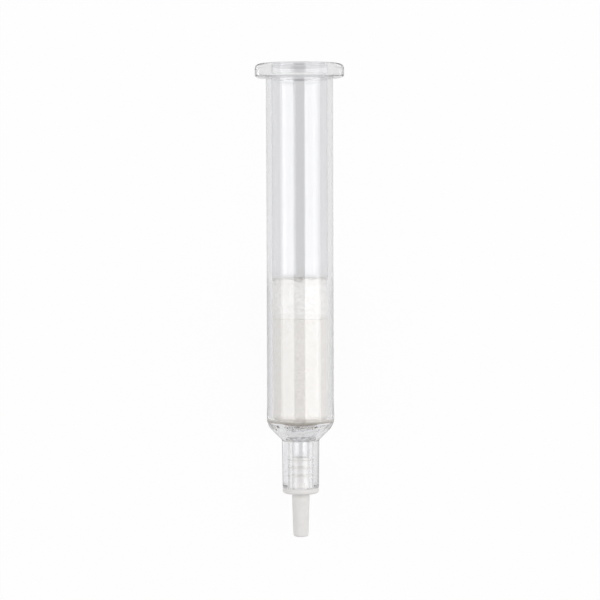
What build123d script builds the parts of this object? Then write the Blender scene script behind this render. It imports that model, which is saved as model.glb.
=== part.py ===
from build123d import *
import math
import os

# Solid-phase-extraction cartridge: a glass barrel with a round flange, two packed beds held between
# three porous frits, and a PTFE Luer tip pushed into the barrel's neck. Millimetres.
# Every piece is drawn along the cartridge's own axis, with z = 0 at the open end of the Luer tip and
# the flange at the top. lay_down() then puts the cartridge on its side, as it comes to rest.

# Luer cone, below the collar
luer_end_d = 3.95
luer_taper = 0.06
luer_length = 11.4
luer_end_round = 0.6
outlet_bore_d = 1.8

# Collar that stops against the end of the neck
collar_d = 9.4
collar_thickness = 1.4
collar_bevel = 0.5

# Ribbed stem, above the collar: a plain root and a row of barbs that grip the neck's bore
stem_gap = 0.11
stem_root = 3.1
rib_count = 3
rib_pitch = 2.05
rib_slope_length = 0.8
rib_fit = 0.01

# Neck of the barrel, thick-walled
neck_bore_d = 4.55
neck_end_d = 9.45
neck_top_d = 9.7
neck_length = 12.4
neck_end_round = 0.6
neck_foot_round = 0.6
bore_top_round = 0.4

# Cone and shoulder of the barrel, with the faint bead that the flame leaves at the shoulder
cone_angle = 45.0
cone_wall = 2.0
shoulder_round = 4.0
shoulder_inner_round = 2.4
bead_height = 0.1
bead_length = 5.0

# Tube of the barrel
tube_d = 17.25
tube_wall = 1.4
barrel_length = 109.2

# Flange
flange_d = 22.9
flange_thickness = 3.4
flange_face_round = 1.0
flange_back_round = 0.7
flange_root_flare = 0.4
mouth_round = 0.9

# Frits and beds, from the shoulder upwards
frit_fit = 0.02
bottom_frit_thickness = 1.65
middle_frit_thickness = 1.3
top_frit_thickness = 1.3
frit_seat_drop = 1.2
sorbent_height = 26.0
upper_bed_height = 7.6

# A square corner is rounded by two arcs: how far it is cut back, and the arcs' radius, as shares of
# the nominal rounding
corner_cut = 0.586
corner_arc = 0.85
square_corner = 0.2

# Heights along the axis
collar_top_z = luer_length + collar_thickness
neck_top_z = collar_top_z + neck_length
flange_face_z = collar_top_z + barrel_length
flange_back_z = flange_face_z - flange_thickness

# Radii
tube_r = tube_d / 2
bore_r = tube_r - tube_wall
bead_r = tube_r + bead_height
neck_top_r = neck_top_d / 2
neck_bore_r = neck_bore_d / 2
outlet_r = outlet_bore_d / 2
luer_root_r = (luer_end_d + luer_taper * luer_length) / 2

# The outer cone runs from the neck to the shoulder, and the inner cone lies cone_wall inside it
cone_slope = math.tan(math.radians(cone_angle))
half_turn = math.tan(math.radians(cone_angle / 2))
shoulder_z = neck_top_z + (bead_r - neck_top_r) / cone_slope
inner_cone_rise = cone_wall / math.sin(math.radians(cone_angle))
inner_shoulder_z = neck_top_z + (bore_r - neck_top_r) / cone_slope + inner_cone_rise
bore_top_z = inner_shoulder_z - (bore_r - neck_bore_r) / cone_slope

# Levels of the packing
bottom_frit_z = inner_shoulder_z - frit_seat_drop
sorbent_z = bottom_frit_z + bottom_frit_thickness
middle_frit_z = sorbent_z + sorbent_height
upper_bed_z = middle_frit_z + middle_frit_thickness
top_frit_z = upper_bed_z + upper_bed_height
packing_top_z = top_frit_z + top_frit_thickness


def turned(corners):
    """Solid of revolution from (radius, height, rounding) rows that run once round the section.

    A square corner gets two arcs with a narrow flat between them, as a flame or a lathe tool
    leaves it, and any other corner gets one arc.
    """
    points = []
    rounds = []
    for index, (radius, height, rounding) in enumerate(corners):
        here = Vector(radius, height)
        back = (Vector(*corners[index - 1][:2]) - here).normalized()
        ahead = (Vector(*corners[(index + 1) % len(corners)][:2]) - here).normalized()
        if rounding and abs(back.dot(ahead)) < square_corner:
            cut = rounding * corner_cut
            points += [here + back * cut, here + ahead * cut]
            rounds += [rounding * corner_arc] * 2
        else:
            points.append(here)
            rounds.append(rounding)
    with BuildPart() as piece:
        with BuildSketch(Plane.XZ):
            with BuildLine():
                FilletPolyline(*points, radius=rounds, close=True)
            make_face()
        revolve(axis=Axis.Z)
    return piece.part


def glass_barrel():
    """Flange, tube, shoulder, cone and thick neck, formed from one piece of glass."""
    outside = [
        (neck_end_d / 2, collar_top_z, neck_end_round),
        (neck_top_r, neck_top_z, neck_foot_round),
        (bead_r, shoulder_z, shoulder_round),
        (tube_r, shoulder_z + bead_length, 0),
        (tube_r, flange_back_z - flange_root_flare, 0),
        (tube_r + flange_root_flare, flange_back_z, 0),
        (flange_d / 2, flange_back_z, flange_back_round),
        (flange_d / 2, flange_face_z, flange_face_round),
    ]
    inside = [
        (bore_r, flange_face_z, mouth_round),
        (bore_r, inner_shoulder_z, shoulder_inner_round),
        (neck_bore_r, bore_top_z, bore_top_round),
        (neck_bore_r, collar_top_z, 0),
    ]
    return turned(outside + inside)


def stem_side():
    """The stem's side from the collar up. Each barb is widest at its foot, so it slides in and holds."""
    stem_r = neck_bore_r - stem_gap
    rib_r = neck_bore_r - rib_fit
    side = [(stem_r, collar_top_z, 0)]
    for rib in range(rib_count):
        rib_z = collar_top_z + stem_root + rib * rib_pitch
        side += [
            (stem_r, rib_z, 0),
            (rib_r, rib_z, 0),
            (stem_r, rib_z + rib_slope_length, 0),
        ]
    return side


def luer_tip():
    """Male Luer cone, collar and ribbed stem, turned from one bar with a bore right through."""
    side = stem_side()
    stem_top_z = side[-1][1]
    cone_and_collar = [
        (outlet_r, 0, 0),
        (luer_end_d / 2, 0, luer_end_round),
        (luer_root_r, luer_length, 0),
        (collar_d / 2 - collar_bevel, luer_length, 0),
        (collar_d / 2, luer_length + collar_bevel, 0),
        (collar_d / 2, collar_top_z, 0),
    ]
    return turned(cone_and_collar + side + [(outlet_r, stem_top_z, 0)])


def packing(low_z, high_z):
    """A slice of the barrel's inside between two heights, clear of the glass by frit_fit.

    Its edge is bevelled inside the curve of the shoulder.
    """
    side_r = bore_r - frit_fit
    corner_z = inner_shoulder_z + frit_fit * half_turn
    bevel = shoulder_inner_round * half_turn
    cone_step = Vector(math.sin(math.radians(cone_angle)), math.cos(math.radians(cone_angle))) * bevel
    inside = [
        (0, corner_z - side_r / cone_slope, 0),
        (side_r - cone_step.X, corner_z - cone_step.Y, 0),
        (side_r, corner_z + bevel, 0),
        (side_r, flange_face_z, 0),
        (0, flange_face_z, 0),
    ]
    level = Location((0, 0, (low_z + high_z) / 2))
    return turned(inside) & level * Cylinder(bore_r, high_z - low_z)


def lay_down(piece):
    """Turns the cartridge on its side, flange towards +Y, resting on the flange's rim and the shoulder."""
    rim_arc = flange_back_round * corner_arc
    rim_z = flange_back_z + flange_back_round * corner_cut + rim_arc * half_turn
    rim_r = flange_d / 2 - rim_arc
    heel_z = shoulder_z + shoulder_round * half_turn
    heel_r = bead_r - shoulder_round
    span = math.hypot(rim_z - heel_z, rim_r - heel_r)
    lean = math.atan2(rim_r - heel_r, rim_z - heel_z) - math.asin((shoulder_round - rim_arc) / span)
    height = rim_r * math.cos(lean) - rim_z * math.sin(lean) + rim_arc
    middle = flange_face_z / 2 * math.cos(lean)
    on_side = Location((0, 0, 0), (math.degrees(lean) - 90, 0, 0))
    return Location((0, -middle, height)) * on_side * piece


pieces = {
    "glass_barrel": glass_barrel(),
    "luer_tip": luer_tip(),
    "bottom_frit": packing(bottom_frit_z, sorbent_z),
    "sorbent_bed": packing(sorbent_z, middle_frit_z),
    "middle_frit": packing(middle_frit_z, upper_bed_z),
    "upper_bed": packing(upper_bed_z, top_frit_z),
    "top_frit": packing(top_frit_z, packing_top_z),
}

os.makedirs("parts", exist_ok=True)
for name, piece in pieces.items():
    export_step(lay_down(piece), f"parts/{name}.step")
    print(name, round(piece.volume, 1), "mm3")
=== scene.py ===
import math

import bpy
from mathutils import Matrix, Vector


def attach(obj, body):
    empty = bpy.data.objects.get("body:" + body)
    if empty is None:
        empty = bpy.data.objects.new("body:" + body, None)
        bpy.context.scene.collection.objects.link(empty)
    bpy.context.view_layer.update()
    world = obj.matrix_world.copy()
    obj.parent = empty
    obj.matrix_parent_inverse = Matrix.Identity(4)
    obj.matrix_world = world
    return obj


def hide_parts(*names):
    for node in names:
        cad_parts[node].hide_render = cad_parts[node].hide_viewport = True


# Glass cartridge lying on a pale table: barrel, packing and push-in tip, with its light and camera.
# Sizes of the pieces are in millimetres, and heights run from the tip's end to the flange's face.
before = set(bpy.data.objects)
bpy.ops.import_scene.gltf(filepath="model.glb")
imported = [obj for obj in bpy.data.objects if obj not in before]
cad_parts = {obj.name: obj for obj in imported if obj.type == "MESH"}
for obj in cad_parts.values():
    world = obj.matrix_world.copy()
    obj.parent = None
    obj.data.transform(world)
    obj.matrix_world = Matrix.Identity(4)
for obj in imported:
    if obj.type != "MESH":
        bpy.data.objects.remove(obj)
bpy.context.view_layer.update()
mm = 0.001
tolerance = 1e-6                     # metres, for finding a point again

# How the cartridge lies. Pieces are made standing on the tip's end, and then laid on their side.
rest = {
    "lean": math.radians(1.7621),    # rise of the axis towards the flange
    "height": 7.7778,                # axis above the table at the tip's end
    "length": 122.0,
}


def axisPoint(radius, along):        # a place above the axis, in the lying frame
    lean = rest["lean"]
    back = (along - rest["length"] / 2) * math.cos(lean) - radius * math.sin(lean)
    up = radius * math.cos(lean) + along * math.sin(lean) + rest["height"]
    return Vector((0, back, up)) * mm


# Modelling helpers.

smoothing = {"angle": 35, "weight": 90}


def pickVerts(piece, wanted):        # selects by place, in edit mode
    bpy.ops.object.mode_set(mode="OBJECT")
    for part in (piece.data.vertices, piece.data.edges, piece.data.polygons):
        part.foreach_set("select", [False] * len(part))
    for vert in piece.data.vertices:
        vert.select = wanted(vert.co)
    bpy.ops.object.mode_set(mode="EDIT")
    bpy.ops.mesh.select_mode(type="VERT")


def pickPoints(piece, points):
    pickVerts(piece, lambda co: min((co - point).length for point in points) < tolerance)


def sectionPoint(row):
    return Vector((row[0] * mm, 0, row[1] * mm))


def newPoint(name, radius, height):  # a plane merged to one point starts every turned section
    bpy.ops.object.select_all(action="DESELECT")
    bpy.ops.mesh.primitive_plane_add(size=mm)
    piece = bpy.context.object
    piece.name = piece.data.name = name
    bpy.ops.object.mode_set(mode="EDIT")
    bpy.ops.mesh.select_all(action="SELECT")
    bpy.ops.mesh.merge(type="CENTER")
    bpy.ops.transform.translate(value=(radius * mm, 0, height * mm))
    return piece


def turnedPiece(name, section, steps, runLength, closed=True):
    # section rows are (radius, height, rounding, segments), run round the outline once
    piece = newPoint(name, *section[0][:2])
    here = section[0]
    for row in section[1:]:
        move = ((row[0] - here[0]) * mm, 0, (row[1] - here[1]) * mm)
        bpy.ops.mesh.extrude_region_move(TRANSFORM_OT_translate={"value": move})
        here = row
    if closed:
        pickPoints(piece, (sectionPoint(section[0]), sectionPoint(section[-1])))
        bpy.ops.mesh.edge_face_add()
    for index, (radius, height, rounding, segments) in enumerate(section):
        if rounding:
            before, after = section[index - 1], section[(index + 1) % len(section)]
            before = Vector((before[0] - radius, before[1] - height))
            after = Vector((after[0] - radius, after[1] - height))
            offset = rounding * math.tan((math.pi - before.angle(after)) / 2) * mm
            pickPoints(piece, (sectionPoint((radius, height)),))
            bpy.ops.mesh.bevel(offset=offset, segments=segments, affect="VERTICES")
    splitRuns(piece, runLength)
    bpy.ops.mesh.select_all(action="SELECT")
    bpy.ops.mesh.spin(steps=steps, angle=2 * math.pi, center=(0, 0, 0), axis=(0, 0, 1))
    bpy.ops.mesh.select_all(action="SELECT")
    bpy.ops.mesh.remove_doubles(threshold=2 * tolerance)
    bpy.ops.mesh.normals_make_consistent(inside=False)
    bpy.ops.object.mode_set(mode="OBJECT")
    return piece


def splitRuns(piece, runLength):     # long straight runs get rings along them, the longest first
    for cuts in (15, 3, 1):
        bpy.ops.object.mode_set(mode="OBJECT")
        piece.data.vertices.foreach_set("select", [False] * len(piece.data.vertices))
        for edge in piece.data.edges:
            start, end = (piece.data.vertices[index].co for index in edge.vertices)
            edge.select = (start - end).length > (cuts + 1) * runLength * 0.75 * mm
        bpy.ops.object.mode_set(mode="EDIT")
        bpy.ops.mesh.select_mode(type="EDGE")
        if any(edge.select for edge in piece.data.edges):
            bpy.ops.mesh.subdivide(number_cuts=cuts)
    bpy.ops.mesh.select_mode(type="VERT")


def takePiece(piece):
    bpy.ops.object.select_all(action="DESELECT")
    piece.select_set(True)
    bpy.context.view_layer.objects.active = piece


def layDown(piece):                  # the same turn and lift for every piece
    takePiece(piece)
    bpy.ops.object.mode_set(mode="EDIT")
    bpy.ops.mesh.reveal()
    bpy.ops.mesh.select_all(action="SELECT")
    turn = math.pi / 2 - rest["lean"]
    bpy.ops.transform.rotate(value=turn, orient_axis="X", center_override=(0, 0, 0))
    bpy.ops.transform.translate(value=axisPoint(0, 0))
    bpy.ops.object.mode_set(mode="OBJECT")


def smoothPiece(piece):
    takePiece(piece)
    bpy.ops.object.shade_smooth_by_angle(angle=math.radians(smoothing["angle"]))
    weighted = piece.modifiers.new("even", "WEIGHTED_NORMAL")
    weighted.mode = "FACE_AREA"
    weighted.weight = smoothing["weight"]
    weighted.keep_sharp = True
    bpy.ops.object.modifier_apply(modifier=weighted.name)


def finishPiece(piece, materials, node, shades=()):      # shades: the material of each face
    layDown(piece)
    smoothPiece(piece)
    piece.data.materials.clear()
    for material in materials:
        piece.data.materials.append(material)
    if shades:
        piece.data.polygons.foreach_set("material_index", shades)
    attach(piece, "root")
    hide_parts(node)
    print("made", piece.name, len(piece.data.polygons), "faces")


# Material helpers.

def newMaterial(name):
    material = bpy.data.materials.new(name)
    material.use_nodes = True
    return material, material.node_tree, material.node_tree.nodes["Principled BSDF"]


def setInputs(tree, node, inputs):   # each is a link from another socket, or a plain value
    for key, value in inputs.items():
        socket = node.inputs[key]
        if isinstance(value, bpy.types.NodeSocket):
            tree.links.new(value, socket)
        else:
            socket.default_value = (*value, 1) if socket.type == "RGBA" else value


def newNode(tree, kind, inputs, **settings):
    node = tree.nodes.new(kind)
    for key, value in settings.items():
        setattr(node, key, value)
    setInputs(tree, node, inputs)
    return node


def objectPlace(tree):
    return tree.nodes.new("ShaderNodeTexCoord").outputs["Object"]


def alongAxis(tree, place):          # how far towards the flange, in the lying frame
    return newNode(tree, "ShaderNodeSeparateXYZ", {0: place}).outputs["Y"]


def maths(tree, operation, *values, clamp=False):
    inputs = dict(enumerate(values))
    return newNode(tree, "ShaderNodeMath", inputs, operation=operation, use_clamp=clamp).outputs[0]


def scaled(tree, vector, scale):
    inputs = {0: vector, "Scale": scale}
    return newNode(tree, "ShaderNodeVectorMath", inputs, operation="SCALE").outputs[0]


def mapped(tree, value, start, end, toStart=0.0, toEnd=1.0, kind="LINEAR"):
    inputs = {"Value": value, "From Min": start, "From Max": end, "To Min": toStart, "To Max": toEnd}
    return newNode(tree, "ShaderNodeMapRange", inputs, interpolation_type=kind).outputs[0]


def mixed(tree, factor, first, second, blend="MIX"):
    inputs = {"Factor": factor, "A": first, "B": second}
    return newNode(tree, "ShaderNodeMix", inputs, data_type="RGBA", blend_type=blend).outputs["Result"]


def ramp(tree, factor, positions, colors):
    node = newNode(tree, "ShaderNodeValToRGB", {0: factor})
    for stop, position, color in zip(node.color_ramp.elements, positions, colors):
        stop.position = position
        stop.color = (*color, 1)
    return node.outputs[0]


def bumped(tree, height, strength, depth):
    inputs = {"Height": height, "Strength": strength, "Distance": depth * mm}
    return newNode(tree, "ShaderNodeBump", inputs).outputs["Normal"]


def eitherShader(tree, factor, first, second):
    return newNode(tree, "ShaderNodeMixShader", {0: factor, 1: first, 2: second}).outputs[0]


# Packed grains: each grain its own tone, gaps darkened as painted shade, stray specks, and a height for
# the bump.

grainNumbers = (
    "Grain Size", "Shade Spread", "Gap Shade", "Patch Size", "Patch Depth", "Speck Size", "Speck Share")
grainColors = ("Color", "Tint", "Speck Color")
grainShape = {
    "perMetre": 1000.0, "nudgeScale": 900.0, "nudgeDetail": 2.0, "nudge": 0.0009, "patchDetail": 4.0,
    "gapSharpness": 7.0, "gapHeight": 0.3, "speckSharpness": 1.6,
    "roughness": 0.45, "roughnessSpread": 0.3,
}


def grainGroup():
    group = bpy.data.node_groups.new("packedGrains", "ShaderNodeTree")
    for name in grainNumbers:
        group.interface.new_socket(name, in_out="INPUT", socket_type="NodeSocketFloat")
    for name in grainColors:
        group.interface.new_socket(name, in_out="INPUT", socket_type="NodeSocketColor")
    for name, kind in (("Color", "Color"), ("Height", "Float"), ("Roughness", "Float")):
        group.interface.new_socket(name, in_out="OUTPUT", socket_type="NodeSocket" + kind)
    shape = grainShape
    given = group.nodes.new("NodeGroupInput").outputs
    place = objectPlace(group)

    def noise(size, scale, detail):
        inputs = {"Vector": place, "Scale": maths(group, "DIVIDE", scale, size), "Detail": detail}
        return newNode(group, "ShaderNodeTexNoise", inputs).outputs

    def cells(size, feature="F1"):
        inputs = {"Vector": swirled, "Scale": maths(group, "DIVIDE", shape["perMetre"], size)}
        return newNode(group, "ShaderNodeTexVoronoi", inputs, feature=feature).outputs

    def channels(color):
        return newNode(group, "ShaderNodeSeparateColor", {0: color}).outputs

    def fading(distance, sharpness):     # one at the middle or edge of a cell, and none away from it
        away = maths(group, "MULTIPLY", distance, sharpness, clamp=True)
        return maths(group, "SUBTRACT", 1.0, away, clamp=True)

    def spread(value, width):
        return maths(group, "MULTIPLY", maths(group, "SUBTRACT", value, 0.5), width)

    # places are nudged by up to half a grain, so that no two grains are alike
    nudge = noise(given["Grain Size"], shape["nudgeScale"], shape["nudgeDetail"])["Color"]
    push = scaled(group, nudge, maths(group, "MULTIPLY", given["Grain Size"], shape["nudge"]))
    swirled = newNode(group, "ShaderNodeVectorMath", {0: place, 1: push}, operation="ADD").outputs[0]

    grains = cells(given["Grain Size"])
    grainShade = channels(grains["Color"])
    gap = fading(cells(given["Grain Size"], "DISTANCE_TO_EDGE")["Distance"], shape["gapSharpness"])
    patch = noise(given["Patch Size"], shape["perMetre"], shape["patchDetail"])[0]
    shade = spread(grainShade[0], given["Shade Spread"])
    # painted shade: the gaps between grains are darkened
    shade = maths(group, "SUBTRACT", shade, maths(group, "MULTIPLY", gap, given["Gap Shade"]))
    shade = maths(group, "ADD", shade, spread(patch, given["Patch Depth"]))
    tinted = mixed(group, grainShade[1], given["Color"], given["Tint"])
    shaded = scaled(group, tinted, maths(group, "ADD", 1.0, shade))

    specks = cells(given["Speck Size"])
    picked = maths(group, "LESS_THAN", channels(specks["Color"])[0], given["Speck Share"])
    speck = maths(group, "MULTIPLY", picked, fading(specks["Distance"], shape["speckSharpness"]))
    dome = maths(group, "SUBTRACT", 1.0, maths(group, "POWER", grains["Distance"], 2.0))
    rough = maths(group, "MULTIPLY", grainShade[2], shape["roughnessSpread"])
    setInputs(group, group.nodes.new("NodeGroupOutput"), {
        "Color": mixed(group, speck, shaded, given["Speck Color"]),
        "Height": maths(group, "SUBTRACT", dome, maths(group, "MULTIPLY", gap, shape["gapHeight"])),
        "Roughness": maths(group, "ADD", shape["roughness"], rough),
    })
    return group


packedGrains = grainGroup()


def paintedFootShade(tree, color, look):      # painted shade: darker towards one end, in an uneven front
    place = objectPlace(tree)
    inputs = {"Vector": place, "Scale": look["wanderScale"], "Detail": look["wanderDetail"]}
    wander = newNode(tree, "ShaderNodeTexNoise", inputs).outputs[0]
    front = maths(tree, "MULTIPLY_ADD", wander, look["wander"] * mm, alongAxis(tree, place))
    start, end = (axisPoint(0, height).y + look["wander"] * mm / 2 for height in look["foot"])
    depth = mapped(tree, front, start, end, kind="SMOOTHSTEP")
    return mixed(tree, depth, color, look["footShadeColor"], "MULTIPLY")


def grainMaterial(name, look):
    material, tree, surface = newMaterial(name)
    inputs = {key: look[key] for key in grainNumbers + grainColors}
    grains = newNode(tree, "ShaderNodeGroup", inputs, node_tree=packedGrains)
    color = grains.outputs["Color"]
    setInputs(tree, surface, {
        "Base Color": paintedFootShade(tree, color, look) if "footShadeColor" in look else color,
        "Roughness": grains.outputs["Roughness"],
        "Normal": bumped(tree, grains.outputs["Height"], look["bump"], look["bumpDepth"]),
        "Specular IOR Level": look["specular"],
    })
    return material


# Glass barrel.

clearGlass = {
    # edgeShadeColor and thickSideShade are painted shade: grey for glass seen edge on, darker grey at
    # the thick end's sides
    "color": (0.92, 0.92, 0.93), "edgeShadeColor": (0.36, 0.36, 0.39), "edgeFrom": 0.66, "edgeBlend": 0.5,
    "thickEnd": (26.2, 24.2), "thickFacing": (0.05, 0.5), "thickSideShade": (0.76, 0.757, 0.768),
    "ior": 1.473, "roughness": 0.0, "lampShare": (0.97, 0.97, 0.97),
    "streakScale": 260.0, "streakDetail": 2.0, "streakStretch": (1.0, 0.05, 1.0), "streakDepth": 0.0004,
}
# painted shade: darker glass for the bore's top edge, the flange root and the mouth
boreShadeGlass = {**clearGlass, "color": (0.34, 0.34, 0.36), "edgeShadeColor": (0.16, 0.16, 0.18)}
curveShadeGlass = {**clearGlass, "color": (0.62, 0.62, 0.64), "edgeShadeColor": (0.36, 0.36, 0.39)}


def streakNormal(tree, place, look): # faint draw lines run along the glass
    turn = {"Vector": place, "Rotation": (-rest["lean"], 0, 0), "Scale": look["streakStretch"]}
    drawn = newNode(tree, "ShaderNodeMapping", turn).outputs["Vector"]
    inputs = {"Vector": drawn, "Scale": look["streakScale"], "Detail": look["streakDetail"]}
    streaks = newNode(tree, "ShaderNodeTexNoise", inputs).outputs[0]
    return bumped(tree, streaks, 1.0, look["streakDepth"])


def glassMaterial(name, look):
    material, tree, surface = newMaterial(name)
    place = objectPlace(tree)
    # painted shade: glass seen edge on is darkened to a grey, and the thick-walled end is darker at its
    # sides
    facing = newNode(tree, "ShaderNodeLayerWeight", {"Blend": look["edgeBlend"]}).outputs["Facing"]
    color = ramp(tree, facing, (look["edgeFrom"], 1.0), (look["color"], look["edgeShadeColor"]))
    ends = (axisPoint(0, height).y for height in look["thickEnd"])
    thick = mapped(tree, alongAxis(tree, place), *ends)
    sides = maths(tree, "MULTIPLY", thick, mapped(tree, facing, *look["thickFacing"]))
    setInputs(tree, surface, {
        "Base Color": mixed(tree, sides, color, look["thickSideShade"], "MULTIPLY"),
        "Transmission Weight": 1.0,
        "IOR": look["ior"],
        "Roughness": look["roughness"],
        "Normal": streakNormal(tree, place, look),
    })
    # lamps reach the packing and the table through the glass, a little dimmed at each face
    lampWay = newNode(tree, "ShaderNodeBsdfTransparent", {"Color": look["lampShare"]}).outputs[0]
    ray = tree.nodes.new("ShaderNodeLightPath").outputs
    shown = eitherShader(tree, ray["Is Shadow Ray"], surface.outputs[0], lampWay)
    shown = eitherShader(tree, ray["Is Diffuse Ray"], shown, lampWay)
    setInputs(tree, tree.nodes["Material Output"], {"Surface": shown})
    return material


barrel = {
    "tube": 8.625, "bore": 7.225, "flange": 11.45, "neckEnd": 4.725, "neckTop": 4.85, "neckBore": 2.275,
    "collarTop": 12.8, "neckTopHeight": 25.2, "boreTop": 25.453, "innerShoulder": 30.403,
    "flangeBack": 118.6, "face": 122.0,
    # a faint bead where the tube meets the shoulder, as a radius, its full length and its crest's length
    "bead": 0.1, "beadLength": 5.0, "beadCrest": 2.6, "beadRound": 3.0,
    "neckEndRound": 0.3, "neckTopRound": 0.6, "shoulderRound": 4.0, "rootRound": 0.5, "backRound": 0.7,
    "rimRound": 1.0, "mouthRound": 0.9, "innerRound": 2.4, "boreTopRound": 0.5, "boreFootRound": 0.1,
    # the hand-formed inside of the cone isn't quite true between these heights
    "uneven": (26.2, 29.4), "unevenRings": 18, "unevenDepth": 0.06, "unevenSmooth": 2, "unevenSeed": 7,
    # heights, outer radius and material of the tight curves: bore edge, flange root and mouth, where
    # darker glass is painted shade
    "tightCurves": ((25.6, 26.15, 3.6, 1), (118.05, 118.62, 9.2, 2), (121.1, 122.1, 8.1, 2)),
    "segments": 160, "ringStep": 2.0,
}


def barrelSection():
    b = barrel
    crest = b["tube"] + b["bead"]
    shoulder = b["neckTopHeight"] + crest - b["neckTop"]     # the cone rises at 45 degrees
    section = [
        (b["neckEnd"], b["collarTop"], b["neckEndRound"], 8),
        (b["neckTop"], b["neckTopHeight"], b["neckTopRound"], 6),
        (crest, shoulder, b["shoulderRound"], 12),
        (b["tube"] + b["bead"] * 0.9, shoulder + b["beadCrest"], b["beadRound"], 4),
        (b["tube"], shoulder + b["beadLength"], b["beadRound"], 4),
        (b["tube"], b["flangeBack"], b["rootRound"], 8),
        (b["flange"], b["flangeBack"], b["backRound"], 8),
        (b["flange"], b["face"], b["rimRound"], 10),
        (b["bore"], b["face"], b["mouthRound"], 10),
        (b["bore"], b["innerShoulder"], b["innerRound"], 14),
    ]
    low, high = b["uneven"]
    for ring in range(b["unevenRings"]):
        height = high - (high - low) * ring / (b["unevenRings"] - 1)
        section.append((b["bore"] - b["innerShoulder"] + height, height, 0, 0))
    return section + [
        (b["neckBore"], b["boreTop"], b["boreTopRound"], 6),
        (b["neckBore"], b["collarTop"], b["boreFootRound"], 3),
    ]


def unevenCone(piece):
    low, high = (height * mm for height in barrel["uneven"])
    cone = (barrel["bore"] - barrel["innerShoulder"]) * mm
    reach = 10 * tolerance
    pickVerts(piece, lambda co: low < co.z < high and abs(co.xy.length - co.z - cone) < reach)
    depth, seed = barrel["unevenDepth"] * mm, barrel["unevenSeed"]
    bpy.ops.transform.vertex_random(offset=depth, uniform=0.2, normal=1.0, seed=seed)
    bpy.ops.mesh.vertices_smooth(factor=0.5, repeat=barrel["unevenSmooth"])
    bpy.ops.object.mode_set(mode="OBJECT")


def paintedGlassShade(place):               # painted shade: tight curves get darker glass
    for low, high, radius, shade in barrel["tightCurves"]:
        if low < place.z < high and place.xy.length < radius:
            return shade
    return 0


def makeBarrel():
    piece = turnedPiece("glassBarrel", barrelSection(), barrel["segments"], barrel["ringStep"])
    unevenCone(piece)
    shades = [paintedGlassShade(face.center / mm) for face in piece.data.polygons]
    looks = {"clearGlass": clearGlass, "boreShadeGlass": boreShadeGlass, "curveShadeGlass": curveShadeGlass}
    materials = [glassMaterial(name, look) for name, look in looks.items()]
    finishPiece(piece, materials, "glass_barrel", shades)


makeBarrel()

# Push-in tip.

whitePlastic = {
    # stemLitColor is painted light: the stem inside the glass neck is lighter where the thick glass
    # gathers light on it
    "color": (0.775, 0.76, 0.745), "stemLitColor": (0.88, 0.87, 0.86), "stemBlend": 0.3,
    "cloudScale": 700.0, "cloudDetail": 5.0, "cloudRange": (0.3, 0.7), "cloudShade": 0.95,
    "turningScale": 1400.0, "turningWander": 1.5, "turningDetail": 2.0, "bump": 0.05, "bumpDepth": 0.02,
    "roughness": (0.38, 0.55), "specular": 0.35,
    "subsurface": 0.25, "subsurfaceRadius": (1.0, 0.95, 0.9), "subsurfaceDepth": 0.6,
}
# painted shade: the rib crests that touch the bore take a darker white
ribShadePlastic = {**whitePlastic, "color": (0.74, 0.73, 0.71), "stemLitColor": (0.74, 0.73, 0.71)}

tip = {
    "endRadius": 1.975, "taper": 0.06, "length": 11.4, "bore": 0.9, "collar": 4.7, "collarTop": 12.805,
    "stem": 2.165, "ribs": 3, "rib": 2.285, "firstRib": 15.9, "ribPitch": 2.05, "ribCrest": 0.22,
    "ribSlope": 0.8, "ribFootRound": 0.05, "ribRound": 0.03, "slopeRound": 0.1,
    "endRound": 0.5, "rootRound": 0.25, "collarRound": 0.55, "collarTopRound": 0.2,
    "stemTopRound": 0.45, "boreEdge": 0.15, "segments": 128, "ringStep": 1.5,
}


def tipMaterial(name, look):
    material, tree, surface = newMaterial(name)
    place = objectPlace(tree)
    # painted light: past the collar the stem blends to the lighter stemLitColor
    stemStart, stemEnd = (
        axisPoint(0, tip["collarTop"] + side * look["stemBlend"]).y for side in (-1, 1))
    stem = mapped(tree, alongAxis(tree, place), stemStart, stemEnd)
    inputs = {"Vector": place, "Scale": look["cloudScale"], "Detail": look["cloudDetail"]}
    cloud = newNode(tree, "ShaderNodeTexNoise", inputs).outputs[0]
    shade = mapped(tree, cloud, *look["cloudRange"], look["cloudShade"])
    inputs = {
        "Vector": place, "Scale": look["turningScale"], "Distortion": look["turningWander"],
        "Detail": look["turningDetail"]}
    turning = newNode(tree, "ShaderNodeTexWave", inputs, bands_direction="Y").outputs["Color"]
    setInputs(tree, surface, {
        "Base Color": scaled(tree, mixed(tree, stem, look["color"], look["stemLitColor"]), shade),
        "Roughness": mapped(tree, cloud, 0.0, 1.0, *look["roughness"]),
        "Normal": bumped(tree, turning, look["bump"], look["bumpDepth"]),
        "Specular IOR Level": look["specular"],
        "Subsurface Weight": look["subsurface"],
        "Subsurface Radius": look["subsurfaceRadius"],
        "Subsurface Scale": look["subsurfaceDepth"] * mm,
    })
    return material


def touchesBore(place):              # the crest of a rib
    crest = (tip["stem"] + tip["rib"]) / 2
    return place.z > tip["collarTop"] + 1 and place.xy.length > crest


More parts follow.
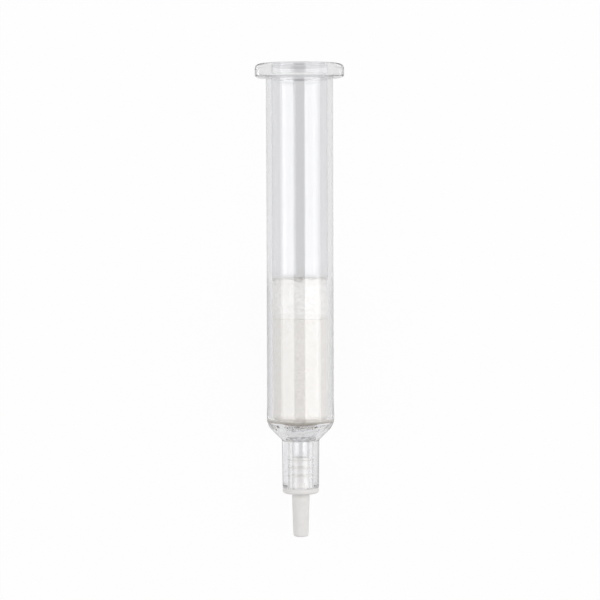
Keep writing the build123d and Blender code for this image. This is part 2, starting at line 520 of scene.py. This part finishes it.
def tipSection():
    t = tip
    root = t["endRadius"] + t["taper"] / 2 * t["length"]
    section = [
        (t["bore"], t["boreEdge"], 0, 0),
        (t["bore"] + t["boreEdge"], 0, 0, 0),
        (t["endRadius"], 0, t["endRound"], 8),
        (root, t["length"], t["rootRound"], 4),
        (t["collar"], t["length"], t["collarRound"], 8),
        (t["collar"], t["collarTop"], t["collarTopRound"], 4),
        (t["stem"], t["collarTop"], 0, 0),
    ]
    for rib in range(t["ribs"]):
        foot = t["firstRib"] + rib * t["ribPitch"]
        section += [
            (t["stem"], foot, t["ribFootRound"], 2),
            (t["rib"], foot, t["ribRound"], 2),
            (t["rib"], foot + t["ribCrest"], t["ribRound"], 2),
            (t["stem"], foot + t["ribSlope"], t["slopeRound"], 2),
        ]
    top = section[-1][1]             # the last rib's slope is the end of the stem
    section[-1] = (t["stem"], top, t["stemTopRound"], 6)
    return section + [(t["bore"], top, t["boreEdge"], 3)]


def makeTip():
    piece = turnedPiece("luerTip", tipSection(), tip["segments"], tip["ringStep"])
    # painted shade on the rib crests that touch the bore
    shades = [int(touchesBore(face.center / mm)) for face in piece.data.polygons]
    materials = [tipMaterial("whiteTip", whitePlastic), tipMaterial("paintedRibShade", ribShadePlastic)]
    finishPiece(piece, materials, "luer_tip", shades)


makeTip()

# Frits and beds.

frit = {
    "Grain Size": 0.16, "Shade Spread": 0.16, "Gap Shade": 0.06, "Patch Size": 0.7, "Patch Depth": 0.20,
    "Speck Size": 0.32, "Speck Share": 0.16, "Speck Color": (0.78, 0.74, 0.68),
    "Color": (0.93, 0.912, 0.885), "Tint": (0.98, 0.97, 0.945),
    "bump": 0.5, "bumpDepth": 0.05, "specular": 0.3,
}
footShadedFrit = {
    # painted shade: the bottom frit's side darkens towards its foot
    **frit, "foot": (31.5, 29.3), "footShadeColor": (0.36, 0.325, 0.28),
    "wander": 0.8, "wanderScale": 900.0, "wanderDetail": 6.0,
}
sorbent = {
    "Grain Size": 0.28, "Shade Spread": 0.12, "Gap Shade": 0.03, "Patch Size": 2.4, "Patch Depth": 0.06,
    "Speck Size": 0.34, "Speck Share": 0.20, "Speck Color": (0.76, 0.71, 0.645),
    "Color": (0.885, 0.855, 0.812), "Tint": (0.935, 0.915, 0.885),
    "bump": 0.35, "bumpDepth": 0.05, "specular": 0.3,
    # painted shade: the sorbent darkens towards its foot
    "foot": (32.2, 29.6), "footShadeColor": (0.58, 0.53, 0.48),
    "wander": 1.0, "wanderScale": 900.0, "wanderDetail": 6.0,
}
dryingSalt = {
    "Grain Size": 0.36, "Shade Spread": 0.13, "Gap Shade": 0.03, "Patch Size": 0.9, "Patch Depth": 0.07,
    "Speck Size": 0.40, "Speck Share": 0.16, "Speck Color": (0.80, 0.765, 0.71),
    "Color": (0.935, 0.92, 0.89), "Tint": (0.985, 0.98, 0.965),
    "bump": 0.45, "bumpDepth": 0.07, "specular": 0.4,
}

packing = {
    "side": 7.205,
    # faces between bottom frit, sorbent, middle frit, upper bed and top frit, from the lowest up
    "levels": (29.203, 30.853, 56.853, 58.153, 65.753, 67.053),
    "sorbentEdge": 0.3, "middleEdge": 0.1, "topEdge": 0.12,
    "segments": 160, "curveSteps": 8, "ringStep": 0.5,
    "crumple": 0.6, "crumpleInset": 0.13, "crumpleSmooth": 2, "crumpleSeed": 3,
    # place, rise and spread of each dent in the top frit
    "dents": (
        (0.0, 0.0, -0.8, 7.0), (-6.3, -3.5, -0.5, 1.6), (-4.7, -5.46, -0.5, 0.8),
        (-0.5, -7.19, -0.7, 1.8), (0.2, -7.2, -0.3, 0.7), (1.6, -7.03, 0.3, 0.7),
        (5.2, -4.99, -0.45, 1.2), (6.3, -3.5, -0.5, 1.1)),
}


def seatedSide(low, high):           # the side of a piece that sits in the curve inside the shoulder
    side, corner, curve = packing["side"], barrel["innerShoulder"], barrel["innerRound"]
    reach = curve * math.tan(math.pi / 8)
    curveTop = corner + reach
    curveFoot = corner - reach * math.cos(math.pi / 4)
    rows = [(side - corner + low, low, 0, 0)] if low < curveFoot else []
    first, last = max(low, curveFoot), min(high, curveTop)
    for step in range(packing["curveSteps"] + 1):
        height = first + (last - first) * step / packing["curveSteps"]
        inward = curve - math.sqrt(curve ** 2 - (curveTop - height) ** 2)
        rows.append((side - inward, height, 0, 0))
    if high > curveTop:
        rows.append((side, high, packing["sorbentEdge"], 4))
    return rows


def crumpleTop(piece, high):         # loose fibres leave the top of a frit uneven
    inside = (packing["side"] - packing["crumpleInset"]) * mm
    pickVerts(piece, lambda co: co.z > (high - 0.02) * mm and co.xy.length < inside)
    depth, seed = packing["crumple"] * mm, packing["crumpleSeed"]
    bpy.ops.transform.vertex_random(offset=depth, uniform=0.0, normal=1.0, seed=seed)
    bpy.ops.mesh.vertices_smooth(factor=0.5, repeat=packing["crumpleSmooth"])
    bpy.ops.object.mode_set(mode="OBJECT")


def dentTop(piece, low):             # the top of a frit is pushed in unevenly, its foot stays flat
    pickVerts(piece, lambda co: co.z < (low + 0.1) * mm)
    bpy.ops.mesh.hide(unselected=False)
    for x, y, rise, spread in packing["dents"]:
        spot = Vector((x, y)) * mm
        top = [vert.co.copy() for vert in piece.data.vertices if vert.co.z > (low + 0.9) * mm]
        nearest = min(top, key=lambda co: ((co.xy - spot).length, -co.z))
        pickPoints(piece, (nearest,))
        bpy.ops.transform.translate(
            value=(0, 0, rise * mm), use_proportional_edit=True,
            proportional_edit_falloff="SMOOTH", proportional_size=spread * mm)
        bpy.ops.object.mode_set(mode="OBJECT")


def packedPiece(name, low, high, side):      # a turned piece from the axis out to its side and back
    section = [(0, low, 0, 0)] + side + [(0, high, 0, 0)]
    return turnedPiece(name, section, packing["segments"], packing["ringStep"], closed=False)


def straightSide(low, high, edge):
    return [(packing["side"], height, edge, 3) for height in (low, high)]


def makePacking():
    levels = packing["levels"]
    spans = list(zip(levels, levels[1:]))
    cleanFrit = grainMaterial("porousFrit", frit)

    low, high = spans[0]
    piece = packedPiece("bottomFrit", low, high, seatedSide(low, high))
    finishPiece(piece, [grainMaterial("footShadedFrit", footShadedFrit), cleanFrit], "bottom_frit")
    for face in piece.data.polygons:             # only the side gets the painted shade
        face.material_index = int(abs(face.normal.y) > 0.9)

    low, high = spans[1]
    piece = packedPiece("sorbentBed", low, high, seatedSide(low, high))
    finishPiece(piece, [grainMaterial("fineSorbent", sorbent)], "sorbent_bed")

    low, high = spans[2]
    piece = packedPiece("middleFrit", low, high, straightSide(low, high, packing["middleEdge"]))
    finishPiece(piece, [cleanFrit], "middle_frit")

    low, high = spans[3]
    piece = packedPiece("upperBed", low, high, straightSide(low, high, 0))
    finishPiece(piece, [grainMaterial("dryingCrystals", dryingSalt)], "upper_bed")

    low, high = spans[4]
    piece = packedPiece("topFrit", low, high, straightSide(low, high, packing["topEdge"]))
    crumpleTop(piece, high)
    dentTop(piece, low)
    finishPiece(piece, [cleanFrit], "top_frit")


makePacking()

# Table, light and camera.

studio = {
    # lengths are in metres; the glow is the table's pale share, seen straight or in the glass
    "tableSize": 4.0, "tableColor": (0.775, 0.775, 0.775), "tableRoughness": 0.9,
    "glow": 0.95, "glowInGlass": 0.15,
    "world": 0.34, "horizon": (0.35, 0.6), "overhead": 0.18, "roomInGlass": 0.80,
    # each lamp's edges in degrees from straight above, and its share of the radiance
    "lamps": ((-70.0, -22.0, 0.9), (17.0, 74.0, 1.0)),
    "lampDistance": 1.2, "lampLength": 0.9, "lampPlace": 0.14, "radiance": 2.8,
    "bounces": 24, "reflections": 16,    # how far light is followed inside the glass
}


def paleShare(tree, direct, inGlass):    # how much of the pale background each kind of ray meets
    ray = tree.nodes.new("ShaderNodeLightPath").outputs
    shares = {"Is Camera Ray": direct, "Is Glossy Ray": inGlass, "Is Transmission Ray": inGlass}
    total = 0.0
    for kind, share in shares.items():
        total = maths(tree, "MULTIPLY_ADD", ray[kind], share, total, clamp=True)
    return total


def makeTable():
    bpy.ops.object.select_all(action="DESELECT")
    bpy.ops.mesh.primitive_plane_add(size=studio["tableSize"])
    table = bpy.context.object
    table.name = "paleTable"
    material, tree, surface = newMaterial("paleTable")
    setInputs(tree, surface, {
        "Base Color": studio["tableColor"],
        "Roughness": studio["tableRoughness"],
        "Specular IOR Level": 0.0,
    })
    glow = newNode(tree, "ShaderNodeEmission", {"Strength": 1.0}).outputs[0]
    pale = paleShare(tree, studio["glow"], studio["glowInGlass"])
    shown = eitherShader(tree, pale, surface.outputs[0], glow)
    setInputs(tree, tree.nodes["Material Output"], {"Surface": shown})
    table.data.materials.append(material)


def makeWorld():
    # glass meets a room that is pale low down and darker overhead, and matt surfaces an even fill
    world = bpy.data.worlds.new("paleRoom")
    bpy.context.scene.world = world
    world.use_nodes = True
    tree = world.node_tree
    fill = tree.nodes["Background"]
    setInputs(tree, fill, {"Color": (1, 1, 1), "Strength": studio["world"]})
    place = tree.nodes.new("ShaderNodeTexCoord").outputs["Generated"]
    height = newNode(tree, "ShaderNodeSeparateXYZ", {0: place}).outputs["Z"]
    shade = ramp(tree, height, studio["horizon"], ((1, 1, 1), [studio["overhead"]] * 3))
    strength = paleShare(tree, 1.0, studio["roomInGlass"])
    seen = newNode(tree, "ShaderNodeBackground", {"Color": shade, "Strength": strength}).outputs[0]
    shown = eitherShader(tree, paleShare(tree, 1.0, 1.0), fill.outputs[0], seen)
    setInputs(tree, tree.nodes["World Output"], {"Surface": shown})


def makeLamps():
    reach, length = studio["lampDistance"], studio["lampLength"]
    for index, (first, last, share) in enumerate(studio["lamps"]):
        angle = math.radians((first + last) / 2)
        width = 2 * reach * math.tan(math.radians((last - first) / 2))
        place = (math.sin(angle) * reach, studio["lampPlace"], math.cos(angle) * reach)
        bpy.ops.object.light_add(type="AREA", location=place)
        light = bpy.context.object
        light.name = "softbox" + str(index + 1)
        light.rotation_euler = (0, angle, 0)
        light.data.shape = "RECTANGLE"
        light.data.size = width
        light.data.size_y = length
        light.data.energy = studio["radiance"] * share * math.pi * width * length


camera = {
    "above": 482.0, "along": 88.4,   # millimetres from the axis, and along it from the tip's end
    "pitch": math.radians(3.2), "roll": math.radians(0.2), "lens": 112.2, "sensor": 36.0,
    "clip": (0.01, 20.0),            # metres
}


def makeCamera():
    bpy.ops.object.camera_add(location=axisPoint(camera["above"], camera["along"]))
    eye = bpy.context.object
    eye.rotation_euler = (rest["lean"] - camera["pitch"], 0, -camera["roll"])
    eye.data.lens = camera["lens"]
    eye.data.sensor_width = camera["sensor"]
    eye.data.clip_start, eye.data.clip_end = camera["clip"]
    bpy.context.scene.camera = eye


makeTable()
makeWorld()
makeLamps()
makeCamera()
bpy.context.scene.view_settings.view_transform = "Standard"
# light turns back many times before it leaves the thick shoulder
paths = bpy.context.scene.cycles
paths.max_bounces = paths.transmission_bounces = studio["bounces"]
paths.glossy_bounces = studio["reflections"]
print("studio ready")
